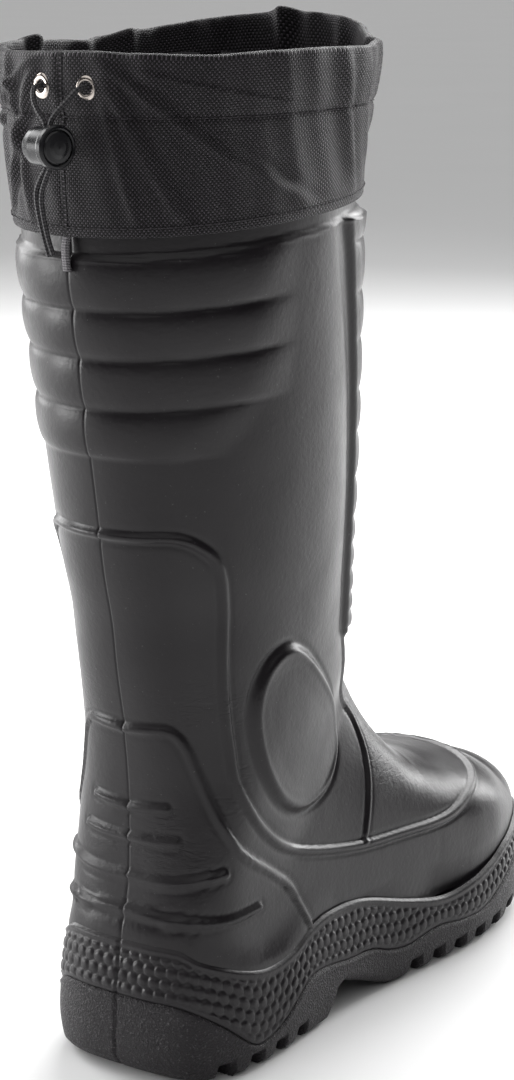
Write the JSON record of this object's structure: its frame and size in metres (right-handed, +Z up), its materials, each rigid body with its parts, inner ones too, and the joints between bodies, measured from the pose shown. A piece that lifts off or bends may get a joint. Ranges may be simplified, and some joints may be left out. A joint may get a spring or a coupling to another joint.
{
  "type": "insulated winter boot",
  "caption": "Knee-high moulded boot with calf pads, shin strip, lugged sole, removable liner and a nylon collar closed by a drawcord with a sliding cord lock",
  "frame": {"origin": "on the ground, under the middle of the object's box (the boot stands on its sole)", "axes": "+Z up, -Y towards the toe, +Y towards the heel, -X the outer side of a right foot"},
  "size_m": [0.1502, 0.3709, 0.47],
  "materials": {
    "eva_shell": "satin moulded EVA foam, very dark grey-black",
    "eva_band": "satin moulded EVA with small raised domes",
    "eva_tread": "matt, finely granular",
    "footbed_felt": "needled felt",
    "liner_felt": "quilted insulating felt, light grey",
    "binding_tape": "ribbed binding tape",
    "webbing": "woven webbing",
    "collar_nylon": "coarse basket-weave nylon, black",
    "lining_nylon": "smooth light grey coated lining",
    "thread": "black polyester thread",
    "seam_tape": "ribbed seam tape, dark grey",
    "nickel": "polished nickel plate, slightly warm",
    "cord": "braided elastic cord, black",
    "lock_plastic": "glossy black moulded plastic",
    "button_plastic": "glossy black moulded plastic",
    "spring_steel": "bright wire"
  },
  "bodies": {
    "boot": {"shell": "eva_shell", "midsole": "eva_band", "outsole": "eva_tread", "footbed": "footbed_felt", "liner": "liner_felt", "liner_binding": "binding_tape", "liner_pull_loop": "webbing", "collar": "collar_nylon", "collar_lining": "lining_nylon", "casing_stitching": "thread", "hem_stitching": "thread", "seam_tape": "seam_tape", "eyelet_left": "nickel", "eyelet_right": "nickel", "eyelet_washer_left": "nickel", "eyelet_washer_right": "nickel", "drawcord": "cord", "cord_tail_left": "cord", "cord_tail_right": "cord"},
    "cord_lock": {"lock_barrel": "lock_plastic", "lock_spring": "spring_steel"},
    "button": {"lock_plunger": "button_plastic"}
  },
  "joints": [
    {"name": "lock_slide", "type": "slide", "parent": "boot", "child": "cord_lock", "axis": [0, 0, 1], "range_m": [-0.012, 0.003], "deforming": ["cord_tail_left", "cord_tail_right"]},
    {"name": "button_press", "type": "slide", "parent": "cord_lock", "child": "button", "axis": [0.9641, -0.2656, 0], "range_m": [0, 0.0026], "stiffness_N_per_m": 600, "springref_m": -0.001, "deforming": ["lock_spring"]}
  ]
}
